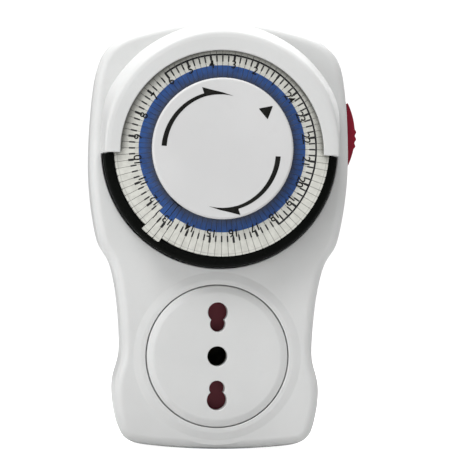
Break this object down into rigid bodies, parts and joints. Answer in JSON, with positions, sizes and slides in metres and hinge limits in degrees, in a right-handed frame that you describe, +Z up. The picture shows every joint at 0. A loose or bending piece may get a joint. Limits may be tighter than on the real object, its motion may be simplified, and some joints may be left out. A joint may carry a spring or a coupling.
{
  "type": "plug-in mechanical segment timer",
  "caption": "Plug-in daily timer: rotating segment dial under a half hood, side override lever, wall plug behind and shuttered socket below.",
  "frame": {"origin": "the dial's axis where it meets the flat back of the housing", "axes": "+X to the right seen from the front, +Y into the wall along the plug pins, +Z up from the socket towards the dial"},
  "size_m": [0.0803, 0.0585, 0.1274],
  "materials": {
    "casing_white": "satin moulded plastic, slightly warm white",
    "cap_white": "satin moulded plastic",
    "black_plastic": "smooth black plastic",
    "dial_print": "cream plastic with printed blue band, black scale and numerals",
    "dial_blue": "blue plastic",
    "lever_red": "crimson plastic, ribbed grip",
    "shutter_maroon": "dark red-brown plastic",
    "nylon_natural": "unfilled nylon, slightly translucent",
    "phenolic_dark": "moulded phenolic",
    "brass": "stamped, bright",
    "nickel_plate": "nickel-plated turned brass",
    "steel": "zinc-plated pressed steel",
    "wire_brown": "PVC wire insulation",
    "wire_blue": "PVC wire insulation"
  },
  "bodies": {
    "casing": {"rear_casing": "casing_white", "front_casing": "casing_white", "socket_face": "casing_white", "centre_cap": "cap_white", "casing_screw_1": "steel", "casing_screw_2": "steel", "casing_screw_3": "steel", "casing_screw_4": "steel", "dial_surround": "black_plastic", "dial_spindle": "steel", "spindle_clip": "steel", "chassis_plate": "steel", "chassis_screw_1": "steel", "chassis_screw_2": "steel", "chassis_screw_3": "steel", "motor_body": "steel", "motor_screw_1": "steel", "motor_screw_2": "steel", "reduction_gear_pin": "steel", "override_pivot_pin": "steel", "override_detent_spring": "steel", "trip_lever_pin": "steel", "trip_lever_spring": "steel", "switch_body": "phenolic_dark", "switch_terminal_in": "brass", "switch_terminal_out": "brass", "shutter_spring": "steel", "contact_carrier": "phenolic_dark", "line_contact": "brass", "neutral_contact": "brass", "earth_contact": "brass", "line_pin": "nickel_plate", "neutral_pin": "nickel_plate", "earth_pin": "nickel_plate", "line_pin_sleeve": "black_plastic", "neutral_pin_sleeve": "black_plastic", "pin_clamp": "phenolic_dark", "line_wire_in": "wire_brown", "line_wire_out": "wire_brown", "motor_wire_line": "wire_brown", "motor_wire_neutral": "wire_blue"},
    "dial": {"segment_ring": "dial_print", "dial_carrier": "dial_blue", "clutch_spring": "steel", "dial_gear": "nylon_natural"},
    "segment_1": {"segment_on_1": "dial_print"},
    "segment_2": {"segment_on_2": "dial_print"},
    "segment_3": {"segment_on_3": "dial_print"},
    "reduction": {"reduction_gear": "nylon_natural"},
    "motor_output": {"motor_pinion": "brass"},
    "override": {"override_lever": "lever_red"},
    "trip": {"trip_lever": "nylon_natural"},
    "plunger": {"switch_plunger": "lever_red"},
    "shutter": {"socket_shutter": "shutter_maroon"}
  },
  "joints": [
    {"name": "dial_turn", "type": "hinge", "parent": "casing", "child": "dial", "pos_m": [0, 0, 0], "axis": [0, 1, 0], "continuous": true},
    {"name": "reduction_turn", "type": "hinge", "parent": "casing", "child": "reduction", "pos_m": [-0.00821, 0, -0.02255], "axis": [0, 1, 0], "continuous": true},
    {"name": "motor_turn", "type": "hinge", "parent": "casing", "child": "motor_output", "pos_m": [-0.00032, 0, -0.0105], "axis": [0, 1, 0], "continuous": true},
    {"name": "segment_1_slide", "type": "slide", "parent": "dial", "child": "segment_1", "axis": [-0.6788, 0, -0.7343], "range_m": [-0.00145, 0]},
    {"name": "segment_2_slide", "type": "slide", "parent": "dial", "child": "segment_2", "axis": [-0.6293, 0, -0.7771], "range_m": [-0.00145, 0]},
    {"name": "segment_3_slide", "type": "slide", "parent": "dial", "child": "segment_3", "axis": [-0.5771, 0, -0.8166], "range_m": [-0.00145, 0]},
    {"name": "override_swing", "type": "hinge", "parent": "casing", "child": "override", "pos_m": [0.0194, 0, 0.00545], "axis": [0, -1, 0], "range_deg": [0, 12]},
    {"name": "trip_swing", "type": "hinge", "parent": "casing", "child": "trip", "pos_m": [0.0275, 0, -0.01], "axis": [0, -1, 0], "range_deg": [0, 3.36]},
    {"name": "plunger_slide", "type": "slide", "parent": "casing", "child": "plunger", "axis": [1, 0, 0], "range_m": [0, 0.001]},
    {"name": "shutter_slide", "type": "slide", "parent": "casing", "child": "shutter", "axis": [1, 0, 0], "range_m": [0, 0.0065], "stiffness_N_per_m": 30, "springref_m": -0.003, "deforming": ["shutter_spring"]}
  ],
  "couplings": [
    {"joint": "reduction_turn", "follows": "dial_turn", "ratio": -4},
    {"joint": "motor_turn", "follows": "dial_turn", "ratio": 12},
    {"joint": "trip_swing", "follows": "override_swing", "ratio": 0.279},
    {"joint": "plunger_slide", "follows": "override_swing", "m_per_rad": 0.0047}
  ]
}
